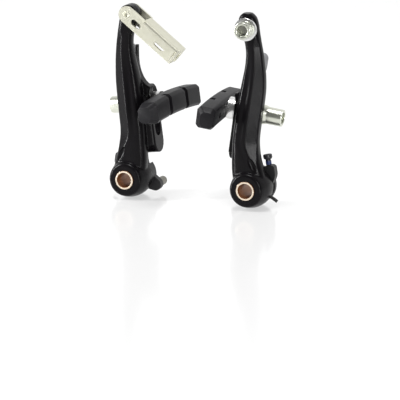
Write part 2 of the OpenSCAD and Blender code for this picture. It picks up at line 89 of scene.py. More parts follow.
# %% Sizes
SPAN = 68.2                      # between the two pivots
BORE_R, SLEEVE_R, SLEEVE_LEN = 4.0, 5.0, 20.5
HUB_R, HUB_BACK, HUB_FRONT, ARM_FRONT = 10.8, 6.3, 15.0, 20.0
BOSS_R = 8.6                     # the ring in front of the hub
LUG_FACE, LUG_T, LUG_W, SLOT_W, SLOT_TRAVEL = 10.6, 8.0, 12.0, 7.4, 14.0
STUD_Y, STUD_Z, STUD_TILT, PAD_TOE = 3.0, 39.0, 7.7, 4.0
PAD_BACK = LUG_T / 2 + 4.6       # from the lug's middle, past a pair of washers
NUT_SEAT = PAD_BACK + 1.0
ANCHOR = (-1.0, 17.0, 85.0)      # across, in front of the seat plane, up
LINK = (-1.0, 13.2, 88.5)
LINK_ANGLE = 38.0
SIDES = ((1, "right"), (-1, "left"))

# %% [markdown]
# ## Making meshes from arrays
# A piece is a grid of points worked out with numpy. Small matrices carry it from its own
# frame to its place, so a washer is drawn once round Z and used wherever it sits.

# %% Frames as matrices
def shift(x, y, z):
    """A move by x, y, z."""
    m = np.eye(4)
    m[:3, 3] = (x, y, z)
    return m


def turn(axis, degrees):
    """A turn about the axis X, Y or Z."""
    return np.array(Matrix.Rotation(math.radians(degrees), 4, axis))


def forwards(x, y0, z):
    """Local Z points to the viewer, from y0 in front of the seat plane."""
    return shift(x, -y0, z) @ turn("X", 90)


def side(s):
    """The right side for s = 1, its mirror image for s = -1, with its pivot on Y."""
    m = np.eye(4)
    m[0, 0] = s
    m[0, 3] = s * SPAN / 2
    return m


AT_STUD = shift(-(LUG_FACE - LUG_T / 2), -STUD_Y, STUD_Z) @ turn("Y", STUD_TILT)
AT_PAD = AT_STUD @ turn("Z", PAD_TOE)
OUTWARDS, INWARDS = turn("Y", 90), turn("Y", -90)
AT_LINK = (shift(LINK[0], -LINK[1], LINK[2]) @ turn("Y", 180 - LINK_ANGLE) @ turn("X", 180))


# %% Grids, revolved profiles and prisms
def piece(name, points, faces, place=np.eye(4)):
    """A mesh object from an (n, 3) array in millimetres, placed and scaled to metres."""
    p = np.asarray(points, float) @ place[:3, :3].T + place[:3, 3]
    mesh = bpy.data.meshes.new(name)
    mesh.from_pydata((p * 0.001).tolist(), [], faces)
    bm = bmesh.new()
    bm.from_mesh(mesh)
    bmesh.ops.remove_doubles(bm, verts=bm.verts, dist=2e-7)
    bmesh.ops.recalc_face_normals(bm, faces=bm.faces)
    bm.to_mesh(mesh)
    bm.free()
    ob = bpy.data.objects.new(name, mesh)
    bpy.context.scene.collection.objects.link(ob)
    return ob


def grid_faces(rows, cols, wrap_rows=False, caps=False):
    """Quads between neighbouring points of rows x cols, round in the second direction."""
    i, k = np.meshgrid(np.arange(rows if wrap_rows else rows - 1), np.arange(cols),
                       indexing="ij")
    a = i * cols + k
    b = i * cols + (k + 1) % cols
    c = ((i + 1) % rows) * cols + (k + 1) % cols
    d = ((i + 1) % rows) * cols + k
    faces = np.stack([a, b, c, d], -1).reshape(-1, 4).tolist()
    if caps:
        faces.append(list(range(cols))[::-1])
        faces.append(list(range((rows - 1) * cols, rows * cols)))
    return faces


def rounded(outline, radius, steps=5):
    """An outline with each corner replaced by a quadratic curve radius long on each side."""
    p = np.asarray(outline, float)
    before, after = np.roll(p, 1, 0) - p, np.roll(p, -1, 0) - p
    r = np.minimum(radius, 0.48 * np.minimum(np.linalg.norm(before, axis=1),
                                             np.linalg.norm(after, axis=1)))[:, None]
    start = p + before / np.linalg.norm(before, axis=1)[:, None] * r
    end = p + after / np.linalg.norm(after, axis=1)[:, None] * r
    t = np.linspace(0, 1, steps + 1)[None, :, None]
    curve = ((1 - t) ** 2 * start[:, None] + 2 * t * (1 - t) * p[:, None]
             + t ** 2 * end[:, None])
    return curve.reshape(-1, 2)


def revolve(name, profile, place, steps=96):
    """The closed profile (radius, height) carried round Z."""
    p = np.asarray(profile, float)
    a = np.linspace(0, 2 * np.pi, steps, endpoint=False)
    r, z = np.maximum(p[:, :1], 0), p[:, 1:]
    grid = np.stack([r * np.cos(a), r * np.sin(a), z + 0 * a], -1)
    return piece(name, grid.reshape(-1, 3), grid_faces(len(p), steps, wrap_rows=True), place)


def disc(r, z0, z1, edge=0.3, hole=0.0, steps=4):
    """The profile of a disc or ring from z0 to z1 with rounded edges."""
    if hole:
        return rounded([(hole, z0), (r, z0), (r, z1), (hole, z1)], edge, steps)
    outer = rounded([(r - 3 * edge, z0), (r, z0), (r, z1), (r - 3 * edge, z1)], edge, steps)
    return np.concatenate([[(0, z0)], outer, [(0, z1)]])


def arc(r, a0, a1, n=10):
    """Points (radius, height) on a sphere's section between two angles in radians."""
    a = np.linspace(a0, a1, n)
    return list(zip(r * np.cos(a), r * np.sin(a)))


def prism(name, outline, z0, z1, place):
    """A straight prism on an outline of points (x, y)."""
    p = np.asarray(outline, float)
    low = np.column_stack([p, np.full(len(p), z0)])
    high = np.column_stack([p, np.full(len(p), z1)])
    return piece(name, np.concatenate([low, high]), grid_faces(2, len(p), caps=True), place)


def block(name, low, high, place):
    """A box between two corners, for cutting and joining."""
    (x0, y0, z0), (x1, y1, z1) = low, high
    return prism(name, [(x0, y0), (x1, y0), (x1, y1), (x0, y1)], z0, z1, place)


def rod(name, r, z0, z1, place, steps=96):
    """A plain round rod along Z, mostly to drill with."""
    return revolve(name, disc(r, z0, z1, 0.01), place, steps)


def hull(*outlines):
    """The convex outline round several outlines."""
    p = sorted(map(tuple, np.concatenate(outlines)))

    def half(points):
        out = []
        for x, y in points:
            while len(out) > 1 and ((out[-1][0] - out[-2][0]) * (y - out[-1][1])
                                    <= (out[-1][1] - out[-2][1]) * (x - out[-1][0])):
                out.pop()
            out.append((x, y))
        return out[:-1]

    return np.array(half(p) + half(p[::-1]))


def circle(r, n=64, centre=(0, 0)):
    """Points of a circle."""
    a = np.linspace(0, 2 * np.pi, n, endpoint=False)
    return np.column_stack([centre[0] + r * np.cos(a), centre[1] + r * np.sin(a)])


def stadium(r, up, down, n=24):
    """An upright slot outline of radius r between the heights down and up."""
    a = np.linspace(0, np.pi, n)
    return np.concatenate([np.column_stack([r * np.cos(a), up + r * np.sin(a)]),
                           np.column_stack([-r * np.cos(a), down - r * np.sin(a)])])


def tube(name, path, r, place, sides=20):
    """A round bar along a path, with a frame that is carried along without twisting."""
    p = np.asarray(path, float)
    t = np.gradient(p, axis=0)
    t /= np.linalg.norm(t, axis=1)[:, None]
    u = np.empty_like(p)
    u[0] = np.cross(t[0], (0.3, 0.9, 0.3))
    for i in range(1, len(p)):
        u[i] = u[i - 1] - (u[i - 1] @ t[i]) * t[i]
        u[i] /= np.linalg.norm(u[i])
    u[0] /= np.linalg.norm(u[0])
    a = np.linspace(0, 2 * np.pi, sides, endpoint=False)[None, :, None]
    grid = p[:, None] + r * (np.cos(a) * u[:, None] + np.sin(a) * np.cross(t, u)[:, None])
    return piece(name, grid.reshape(-1, 3), grid_faces(len(p), sides, caps=True), place)


# %% Modifiers, applied at once
def apply_modifiers(ob):
    """Keeps the mesh that the modifiers give, and drops them."""
    graph = bpy.context.evaluated_depsgraph_get()
    done = bpy.data.meshes.new_from_object(ob.evaluated_get(graph))
    ob.modifiers.clear()
    ob.data = done
    return ob


def join(target, *others):
    """Puts the meshes of the others into the target, without fusing them."""
    bm = bmesh.new()
    for ob in (target, *others):
        bm.from_mesh(ob.data)
    bm.to_mesh(target.data)
    bm.free()
    for ob in others:
        bpy.data.objects.remove(ob)
    return target


def cut(ob, *cutters, operation="DIFFERENCE"):
    """Cuts ob with each cutter, or fuses it with them."""
    for cutter in cutters:
        m = ob.modifiers.new("cut", "BOOLEAN")
        m.operation = operation
        m.solver = "MANIFOLD"
        m.object = cutter
    apply_modifiers(ob)
    for cutter in cutters:
        bpy.data.objects.remove(cutter)
    return ob


def fuse_softly(ob, voxel, smooth):
    """Remeshes crossing shells into one skin, and lets it flow so that joins get fillets."""
    m = ob.modifiers.new("remesh", "REMESH")
    m.mode = "VOXEL"
    m.voxel_size = voxel * 0.001
    s = ob.modifiers.new("smooth", "SMOOTH")
    s.factor = 0.5
    s.iterations = smooth
    return apply_modifiers(ob)


def bevel(ob, width, segments=2, angle=40):
    """Rounds the edges sharper than the angle."""
    m = ob.modifiers.new("bevel", "BEVEL")
    m.width = width * 0.001
    m.segments = segments
    m.limit_method = "ANGLE"
    m.angle_limit = math.radians(angle)
    return apply_modifiers(ob)


def shade(ob, angle=32):
    """Smooth shading, with edges sharper than the angle left crisp."""
    ob.data.polygons.foreach_set("use_smooth", [True] * len(ob.data.polygons))
    ob.data.set_sharp_from_angle(angle=math.radians(angle))
    ob.data.update()
    return ob


def finish_piece(ob, body, material, *replaced, angle=32):
    """Shades a piece, gives it its material and body, and hides the imported parts it replaces.
    """
    shade(ob, angle)
    ob.data.materials.clear()
    ob.data.materials.append(MATERIALS[material])
    if replaced:
        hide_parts(*replaced)
    if body:
        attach(ob, body)
    return ob

# %% [markdown]
# ## Finishes
# Every finish is a Principled shader. A shared node group gives two noise masks in Object
# coordinates: a fine one for the grain of the surface, and a broad one for its uneven tone.

# %% The shared grain group
def grain_group():
    """Masks between 0 and 1: Fine, at the given scale, and Broad, ten times larger."""
    tree = bpy.data.node_groups.new("surface_grain", "ShaderNodeTree")
    tree.interface.new_socket("Scale", in_out="INPUT", socket_type="NodeSocketFloat")
    tree.interface.new_socket("Fine", in_out="OUTPUT", socket_type="NodeSocketFloat")
    tree.interface.new_socket("Broad", in_out="OUTPUT", socket_type="NodeSocketFloat")
    enter = tree.nodes.new("NodeGroupInput")
    leave = tree.nodes.new("NodeGroupOutput")
    place = tree.nodes.new("ShaderNodeTexCoord")
    slower = tree.nodes.new("ShaderNodeMath")
    slower.operation = "MULTIPLY"
    slower.inputs[1].default_value = 0.1
    tree.links.new(enter.outputs["Scale"], slower.inputs[0])
    for name, scale in (("Fine", enter.outputs["Scale"]), ("Broad", slower.outputs[0])):
        noise = tree.nodes.new("ShaderNodeTexNoise")
        noise.inputs["Detail"].default_value = 3
        tree.links.new(place.outputs["Object"], noise.inputs["Vector"])
        tree.links.new(scale, noise.inputs["Scale"])
        tree.links.new(noise.outputs["Fac"], leave.inputs[name])
    return tree


GRAIN = grain_group()


def finish(name, base, tone, rough, metallic=0.0, grain=4000, depth=0.00001, specular=0.5):
    """A finish whose colour runs from base to tone and whose roughness spans rough."""
    m = bpy.data.materials.new(name)
    m.use_nodes = True
    n, link = m.node_tree.nodes, m.node_tree.links.new
    shader = n["Principled BSDF"]
    masks = n.new("ShaderNodeGroup")
    masks.node_tree = GRAIN
    masks.inputs["Scale"].default_value = grain
    colour = n.new("ShaderNodeMix")
    colour.data_type = "RGBA"
    colour.inputs["A"].default_value = (*base, 1)
    colour.inputs["B"].default_value = (*tone, 1)
    link(masks.outputs["Broad"], colour.inputs["Factor"])
    link(colour.outputs["Result"], shader.inputs["Base Color"])
    spread = n.new("ShaderNodeMapRange")
    spread.inputs["From Min"].default_value = 0.3
    spread.inputs["From Max"].default_value = 0.7
    spread.inputs["To Min"].default_value = rough[0]
    spread.inputs["To Max"].default_value = rough[1]
    link(masks.outputs["Fine"], spread.inputs["Value"])
    link(spread.outputs["Result"], shader.inputs["Roughness"])
    bump = n.new("ShaderNodeBump")
    bump.inputs["Strength"].default_value = 0.6
    bump.inputs["Distance"].default_value = depth
    link(masks.outputs["Fine"], bump.inputs["Height"])
    link(bump.outputs["Normal"], shader.inputs["Normal"])
    shader.inputs["Metallic"].default_value = metallic
    shader.inputs["Specular IOR Level"].default_value = specular
    return m


MATERIALS = {
    "black_alloy": finish("black_alloy", (0.003, 0.003, 0.0035), (0.006, 0.005, 0.006),
                          (0.20, 0.28), grain=2500, depth=0.000004, specular=0.11),
    "sintered_bronze": finish("sintered_bronze", (0.34, 0.13, 0.03), (0.18, 0.06, 0.012),
                              (0.30, 0.45), metallic=0.5, grain=5000),
    # Near-white bronze for the sleeve's faced rim: partly the bright machined metal, partly a
    # painted highlight.
    "faced_bronze_and_highlight": finish("faced_bronze_and_highlight", (0.98, 0.88, 0.74), (0.95, 0.80, 0.62),
                           (0.30, 0.40), metallic=1, grain=5000, depth=0.000004),
    "zinc_steel": finish("zinc_steel", (0.78, 0.79, 0.71), (0.66, 0.68, 0.58),
                         (0.22, 0.36), metallic=1, grain=5000, depth=0.000006),
    "zinc_link": finish("zinc_link", (0.80, 0.79, 0.68), (0.70, 0.69, 0.55),
                        (0.34, 0.48), metallic=1, depth=0.000008),
    "bright_steel": finish("bright_steel", (0.86, 0.86, 0.85), (0.78, 0.78, 0.77),
                           (0.20, 0.32), metallic=1, grain=5000, depth=0.000005),
    # The darker steel below is only laid as thin discs in the bolt's hexagon socket and the pin's
    # dimples, as painted shade in those hollows.
    "painted_shade_steel": finish("painted_shade_steel", (0.32, 0.32, 0.28), (0.22, 0.22, 0.20),
                         (0.35, 0.50), metallic=1),
    "stopper_steel": finish("stopper_steel", (0.26, 0.25, 0.22), (0.17, 0.165, 0.14),
                            (0.35, 0.50), metallic=1),
    "black_spring_wire": finish("black_spring_wire", (0.012, 0.012, 0.012),
                                (0.022, 0.021, 0.020), (0.30, 0.45), depth=0.000006),
    "black_screw": finish("black_screw", (0.010, 0.010, 0.012), (0.020, 0.020, 0.024),
                          (0.30, 0.45), grain=5000),
    "thread_lock": finish("thread_lock", (0.010, 0.030, 0.13), (0.006, 0.015, 0.07),
                          (0.35, 0.50), grain=6000),
    "black_plastic": finish("black_plastic", (0.008, 0.008, 0.009), (0.013, 0.013, 0.014),
                            (0.42, 0.55), grain=5000, depth=0.000012),
    "grey_plastic": finish("grey_plastic", (0.16, 0.16, 0.17), (0.22, 0.22, 0.23),
                           (0.40, 0.52), grain=5000),
    "pad_rubber": finish("pad_rubber", (0.004, 0.004, 0.005), (0.008, 0.007, 0.009),
                         (0.38, 0.50), grain=3500, depth=0.00002, specular=0.22),
}
print("finishes:", len(MATERIALS))

# %% [markdown]
# ## The forged arms
# A forged arm has no straight line: its outline sways out and back, a slanted facet runs
# down its front from the head to the hub, and every join flows into the next. The body is
# a loft through sections, the hub is turned, and both are fused with soft fillets before
# the holes are drilled, so that the machined edges stay crisp.

# %% The arm's body
ARM = np.array([
    # height, middle across, half width, middle in front of the seat, half depth
    [3, 0.1, 9.2, 12.2, 5.2], [10, -1.2, 8.6, 12.2, 5.4], [17, -2.1, 7.6, 12.3, 5.6],
    [25, -2.3, 7.0, 12.2, 5.8], [34, -1.4, 6.9, 12.0, 6.0], [44, -0.1, 6.9, 11.5, 5.9],
    [52, 1.0, 6.6, 11.2, 5.7], [59, 1.8, 5.9, 11.4, 5.2], [65, 2.3, 5.1, 11.9, 4.7],
    [72, 2.3, 4.4, 12.6, 4.1], [78, 1.5, 4.3, 13.1, 3.8], [83, 0.3, 4.7, 13.2, 3.75],
    [88, -0.9, 5.1, 13.2, 3.75], [91, -1.3, 4.3, 13.2, 3.6], [93, -1.4, 2.2, 13.2, 2.8]])
ARM_POWER = 2.8                  # 2 is an oval section, more is squarer
FACET_SLOPE = 0.60               # how steeply the outer facet falls back from the ridge
FLUTE_DEPTH, FLUTE_HALF, FLUTE_IN = 0.7, 1.5, 2.6        # the hollow inside the ridge
FLUTE_LOW, FLUTE_LEN = 12, 66
ROW_STEPS, ROUND_STEPS = 14, 160


def smooth_rows(rows, steps):
    """Rows on a Catmull-Rom curve through the given rows."""
    p = np.vstack([rows[:1], rows, rows[-1:]])
    t = np.linspace(0, 1, steps, endpoint=False)[None, :, None]
    a, b, c, d = (p[i:i + len(rows) - 1][:, None] for i in range(4))
    q = 0.5 * (2 * b + (c - a) * t + (2 * a - 5 * b + 4 * c - d) * t ** 2
               + (3 * b - a - 3 * c + d) * t ** 3)
    return np.vstack([q.reshape(-1, rows.shape[1]), rows[-1:]])


def ridge_line(z, middle):
    """Where the front ridge runs: near the middle, swinging outwards above the hub."""
    near_hub = np.clip((26 - z) / 16, 0, 1)
    near_head = np.clip((z - 76) / 8, 0, 1)
    return middle + 0.6 + 4.2 * near_hub ** 2 * (3 - 2 * near_hub) + 3 * near_head


def arm_points(rows, count):
    """Rounded sections, cut back by the facet outside the ridge and hollowed inside it."""
    a = np.linspace(0, 2 * np.pi, count, endpoint=False)
    z, middle, half, depth, thick = (rows[:, i:i + 1] for i in range(5))
    power = 2 / ARM_POWER
    x = middle + half * np.sign(np.cos(a)) * np.abs(np.cos(a)) ** power
    y = -depth + thick * np.sign(np.sin(a)) * np.abs(np.sin(a)) ** power
    ridge = ridge_line(z, middle)
    facet = -(depth + thick) + FACET_SLOPE * (x - ridge)
    y = np.where((np.sin(a) < 0) & (x > ridge), np.maximum(y, np.minimum(facet, -depth)), y)
    run = np.sin(np.pi * np.clip((z - FLUTE_LOW) / FLUTE_LEN, 0, 1))
    hollow = FLUTE_DEPTH * run * np.exp(-((x - (ridge - FLUTE_IN)) / FLUTE_HALF) ** 2)
    y = np.where(np.sin(a) < -0.3, y + hollow, y)
    return np.stack([x, y, z + 0 * x], -1)


def arm_body(name, place):
    """The loft of the body as one closed skin."""
    rows = smooth_rows(ARM, ROW_STEPS)
    points = arm_points(rows, ROUND_STEPS)
    return piece(name, points.reshape(-1, 3), grid_faces(len(rows), ROUND_STEPS, caps=True),
                 place)


# %% The lug, the hub and the holes
LUG_LOW = SLOT_TRAVEL + SLOT_W / 2 + 9.0         # below the stud's highest place
LUG_HIGH = SLOT_W / 2 + 6.6                      # above it
RELIEF_R = 6.8                   # the flat round the slot that the outer washers sit on
HEAD_R, HEAD_BACK = 5.0, 9.4     # the round head at the cable's end
ANCHOR_HOLE_R, LINK_HOLE_R = 3.0, 2.0
WEB_INSET, WEB_PROUD, WEB_END = 0.6, 2.4, 5      # in from the lug's faces, edge and ends
SKIN_VOXEL, SKIN_FLOW = 0.28, 16                 # millimetres, and steps of smoothing
SCOOP_R, SCOOP_AT, SCOOP_LEAN = 4.2, (3.2, 18.5, 13.0), 29
SCOOP_STRETCH = (0.52, 1.25, 0.58, 1)            # across, along, deep
# Half of the hub's section: widest at the back, drawn in by a long curve to the front ring.
DRUM = rounded([(0, HUB_BACK), (HUB_R, HUB_BACK), (HUB_R, HUB_FRONT - 3),
                (BOSS_R + 0.9, HUB_FRONT + 2.4), (BOSS_R, ARM_FRONT), (0, ARM_FRONT)],
               np.array([0, 1.2, 4.0, 3.0, 1.5, 0]), 8)
# The thin gusset between the arm's inner edge and the lug's top, seen from the front.
GUSSET = np.array([(1, 40), (-9, 41), (-10.4, 49.0), (-8.4, 49.9), (-6.6, 51.4), (-5, 53.6),
                   (-3.7, 56.2), (-2.6, 59.2), (-1.5, 63.4), (1, 69)])
GUSSET_BACK, GUSSET_FRONT = 4, 9.5


def arm(s, name):
    """Body, hub, head, lug, web and gusset fused softly, then drilled, slotted and scooped."""
    at, stud = side(s), side(s) @ AT_STUD
    ahead = at @ forwards(0, 0, 0)
    through_lug = stud @ OUTWARDS @ turn("Z", 90)
    head_z, hole_r = (ANCHOR[2], ANCHOR_HOLE_R) if s > 0 else (LINK[2], LINK_HOLE_R)
    at_head = at @ forwards(ANCHOR[0], 0, head_z)
    body = arm_body(name, at)
    drum = revolve("drum", DRUM, ahead, 160)
    head = revolve("head", disc(HEAD_R, HEAD_BACK, ANCHOR[1], 0.6), at_head)
    lug_shape = stadium(LUG_W / 2, LUG_HIGH - LUG_W / 2, -LUG_LOW + LUG_W / 2)
    lug = prism("lug", lug_shape, -LUG_T / 2, LUG_T / 2, through_lug)
    web = block("web", (-LUG_T / 2 + WEB_INSET, -LUG_W / 2 - WEB_PROUD, -LUG_LOW + WEB_END),
                (LUG_T / 2 - WEB_INSET, 0, LUG_HIGH - WEB_END), stud)
    gusset = prism("gusset", GUSSET, GUSSET_BACK, GUSSET_FRONT, ahead)
    join(body, drum, head, lug, web, gusset)
    fuse_softly(body, SKIN_VOXEL, SKIN_FLOW)
    bore = rod("bore", SLEEVE_R + 0.05, -2, 30, ahead)
    hole = rod("hole", hole_r, -2, 30, at_head)
    slot = prism("slot", stadium(SLOT_W / 2, 0, -SLOT_TRAVEL), -LUG_T, LUG_T, through_lug)
    relief = prism("relief", stadium(RELIEF_R, 0, -SLOT_TRAVEL), LUG_T / 2, 4 * LUG_T,
                   through_lug)
    scoop = revolve("scoop", arc(SCOOP_R, -math.pi / 2, math.pi / 2, 24), at
                    @ forwards(*SCOOP_AT) @ turn("Z", SCOOP_LEAN) @ np.diag(SCOOP_STRETCH), 48)
    return cut(body, bore, hole, slot, relief, scoop)


for s, name in SIDES:
    made = arm(s, name + "_forged_arm")
    finish_piece(made, name + "_arm", "black_alloy", name + "_arm", angle=35)
    print(made.name, "triangles:", sum(len(p.vertices) - 2 for p in made.data.polygons))

# %% [markdown]
# ## Sleeve, carrier, pin and spring
# Behind each hub a plastic carrier holds the coil of the return spring. The coil's long leg
# runs up the back of the arm to a guide.

# %% The pivot's parts
CARRIER_R, CARRIER_LEN = 10.3, 6.0
COIL_R, COIL_BACK, COIL_FRONT, WIRE_R = 6.7, 1.9, 5.02, 0.9
COIL_ROOM = 1.1                  # half of the groove that the wire lies in
SHORT_A = -32                    # where the short leg leaves the coil, in degrees
LEG_ROOT_R, LOBE_R, LOBE_LEN = 6.2, 3.3, 3.6
EAR_LEAN, EAR_X, EAR_Z, EAR_W, EAR_DEEP, SCREW_Y = 9, 7.8, 8, 7, 4.2, 3.85
SCREW_OUT, SCREW_LEN, SCREW_R, SCREW_HEAD_R, SCREW_HEAD_LEN = 6.8, 13, 1.45, 2.4, 2.2
LOCK_FROM, LOCK_TO = 3.6, 5.6    # the ring of thread lock
STOPPER_A, STOPPER_DIST = 205, 12
STOPPER_R, STOPPER_TIP_R, COLLAR_R = 2.4, 1.4, 2.7
STOPPER_FROM, COLLAR_TO, STOPPER_TO = 1.6, 5, 13
GUIDE_R, GUIDE_HIGH, GUIDE_LOW = 2.8, (2.9, 67.5), (2.1, 62.5)
GUIDE_BACK, GUIDE_FRONT = 1.2, 10.5
AT_SCREW = shift(EAR_X, -SCREW_Y, EAR_Z) @ turn("Y", -EAR_LEAN)
AT_STOPPER = turn("Y", -STOPPER_A) @ shift(STOPPER_DIST, -5, 0) @ turn("X", -90)


def carrier(s):
    """The cup round the coil, with its lobe for the stopper pin and its ear."""
    at, ahead = side(s), side(s) @ forwards(0, 0, 0)
    lobe = np.array([math.cos(math.radians(STOPPER_A)), math.sin(math.radians(STOPPER_A))])
    cup = prism("carrier", circle(CARRIER_R, 128), 0, CARRIER_LEN, ahead)
    leg = hull(circle(LEG_ROOT_R), circle(LOBE_R, 48, centre=lobe * STOPPER_DIST))
    foot = prism("foot", leg, 0, LOBE_LEN, ahead)
    ear = prism("ear", rounded([(-EAR_W / 2, -EAR_Z), (0.6, -EAR_Z), (EAR_W / 2, -2.5),
                                (EAR_W / 2, 2.4), (EAR_W / 2 - 1.6, 3.5), (-EAR_W / 2, 2.6)],
                               1.6, 8), -EAR_DEEP, 0,
                at @ AT_SCREW @ shift(0, SCREW_Y - CARRIER_LEN, 0) @ turn("X", 90))
    cut(cup, foot, ear, operation="UNION")
    inner, outer, bed = COIL_R - COIL_ROOM, COIL_R + COIL_ROOM, COIL_BACK - COIL_ROOM
    ring = rounded([(inner, bed), (outer, bed), (outer, 9), (inner, 9)], 0.01)
    cut(cup, revolve("ring", ring, ahead), rod("bore", SLEEVE_R, -1, 9, ahead),
        block("long way", (-COIL_R - 1.3, -COIL_BACK - 1.8, -0.5), (-COIL_R + 3, 1, 20), at),
        block("short way", (COIL_R, -9, -COIL_ROOM), (20, -COIL_FRONT + COIL_ROOM, COIL_ROOM),
              at @ turn("Y", -SHORT_A)),
        rod("tapped hole", SCREW_R + 0.2, -30, 30, at @ AT_SCREW, 40))
    return bevel(cup, 0.25)


def spring_path():
    """Short leg, a turn and a half of coil, and the long leg up to the guide."""
    a = np.radians(np.linspace(SHORT_A, 540, 110))
    y = np.linspace(-COIL_FRONT, -COIL_BACK, len(a))
    coil = np.column_stack([COIL_R * np.cos(a), y, COIL_R * np.sin(a)])
    out = np.radians(SHORT_A)
    short = np.array([[r * np.cos(out), -COIL_FRONT, r * np.sin(out)] for r in (14.7, 11, 8.3)])
    long = np.array([[-6.3, -1.7, 4.5], [-5, -0.7, 9], [-3.8, 1.8, 14], [-3.4, 4.4, 20],
                     [-3, 4.4, 38], [-1.8, 3.2, 49], [-0.9, -0.4, 56], [-0.5, -2, 62],
                     [-0.5, -2.4, 70]])
    return np.vstack([short, coil, smooth_rows(long, 8)])


def threads(r, z0, z1, pitch, depth):
    """Heights and radii of a fine thread, drawn as rings."""
    z = np.arange(z0, z1, pitch)
    return [(r - d, h + k * pitch) for h in z for k, d in ((0.0, depth), (0.5, 0.0))]


def sleeve_rim(name, place):
    """The ring that facing the sleeve's front end leaves, a hair proud of it; its near-white
    colour is partly the bare faced bronze and partly a painted highlight.
    """
    inner, outer = BORE_R + 0.08, SLEEVE_R - 0.08
    low, high = SLEEVE_LEN - 0.1, SLEEVE_LEN + 0.02
    return revolve(name, rounded([(inner, low), (outer, low), (outer, high), (inner, high)],
                                 0.05), place, 96)


def stopper_pin(name, place):
    """A turned pin with a collar at the carrier's side."""
    body = rounded([(2.0, STOPPER_FROM), (COLLAR_R, STOPPER_FROM), (COLLAR_R, COLLAR_TO),
                    (STOPPER_R, COLLAR_TO + 0.02), (STOPPER_R, STOPPER_TO),
                    (STOPPER_TIP_R, STOPPER_TO)], 0.35)
    return revolve(name, np.concatenate([[(0, STOPPER_FROM)], body, [(0, STOPPER_TO)]]), place)


def tension_screw(s):
    """The black screw with its slotted cheese head."""
    low, top = SCREW_OUT - SCREW_LEN, SCREW_OUT + SCREW_HEAD_LEN
    shank = [(0, low), (0.9, low)] + threads(SCREW_R, low + 0.4, SCREW_OUT - 1.3, 0.5, 0.16)
    head = rounded([(SCREW_R - 0.1, SCREW_OUT - 0.7), (SCREW_HEAD_R, SCREW_OUT + 0.2),
                    (SCREW_HEAD_R, top), (1.1, top)], 0.45)
    ob = revolve("tension_screw", np.concatenate([shank, head, [(0, top)]]),
                 side(s) @ AT_SCREW, 64)
    return cut(ob, block("screw slot", (-4, -0.4, SCREW_OUT + 1.2), (4, 0.4, SCREW_OUT + 3),
                         side(s) @ AT_SCREW @ turn("Z", 35)))


def spring_guide(s):
    """The rounded plastic guide on the arm's back, with a groove for the leg."""
    shape = hull(circle(GUIDE_R, centre=GUIDE_HIGH), circle(GUIDE_R, centre=GUIDE_LOW))
    ob = prism("spring_guide", shape, GUIDE_BACK, GUIDE_FRONT, side(s) @ forwards(0, 0, 0))
    cut(ob, block("groove", (-1.6, -3.5, 50), (0.6, 0, 80), side(s)))
    return bevel(ob, 0.5, 3)


for s, name in SIDES:
    at, ahead = side(s), side(s) @ forwards(0, 0, 0)
    wall = rounded([(BORE_R, 0), (SLEEVE_R, 0), (SLEEVE_R, SLEEVE_LEN), (BORE_R, SLEEVE_LEN)],
                   0.22)
    finish_piece(revolve(name + "_sleeve", wall, ahead, 128), "root", "sintered_bronze",
                 name + "_pivot_sleeve")
    finish_piece(sleeve_rim(name + "_sleeve_rim", ahead), "root", "faced_bronze_and_highlight",
                 name + "_pivot_sleeve")
    finish_piece(carrier(s), "root", "black_plastic", name + "_spring_carrier")
    finish_piece(stopper_pin(name + "_stopper", at @ AT_STOPPER), "root", "stopper_steel",
                 name + "_stopper_pin")
    spring = tube(name + "_spring", spring_path(), WIRE_R, at)
    finish_piece(spring, None, "black_spring_wire", name + "_return_spring", angle=60)
    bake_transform(spring)
    finish_piece(tension_screw(s), name + "_tension_screw", "black_screw",
                 name + "_tension_screw")
    lock = revolve(name + "_thread_lock", disc(SCREW_R + 0.1, LOCK_FROM, LOCK_TO, 0.1),
                   at @ AT_SCREW, 40)
    finish_piece(lock, name + "_tension_screw", "thread_lock", name + "_tension_screw")
    finish_piece(spring_guide(s), name + "_arm", "grey_plastic", name + "_spring_guide")
print("pivot parts done")

# %% [markdown]
# ## Pads and their washers
# Each pad is three moulded blocks on a common back, bent to the rim's curve. A threaded
# stud carries it through dome and cup washers, which let it lean before the nut is tight.

# %% Pads, studs, washers and nuts
PAD_LEN, PAD_H, PAD_T, RIM_R = 58.0, 11.5, 10.0, 270.0
GROOVE_W, GROOVE_D, PAD_EDGE = 3.2, 4.5, 1.6
END_FROM, END_RUN, END_SETBACK = 0.88, 0.12, 3   # shares of the half length, and mm
STUD_R, STUD_LEN, STUD_HOLE_R = 3.0, 25.0, 3.05
WASHER_R, FLAT_R, DOME_HOLE_R, DOME_R, CUP_R = 6.0, 5.25, 4.2, 7.6, 7.7
NUT_R, NUT_TAPER_R, FLANGE_R, NUT_END, SOCKET_FROM = 4.5, 4.6, 5.2, 11.4, 7.5
HEX_R = 2.5 / math.cos(math.radians(30))         # across the corners of a 5 mm hexagon


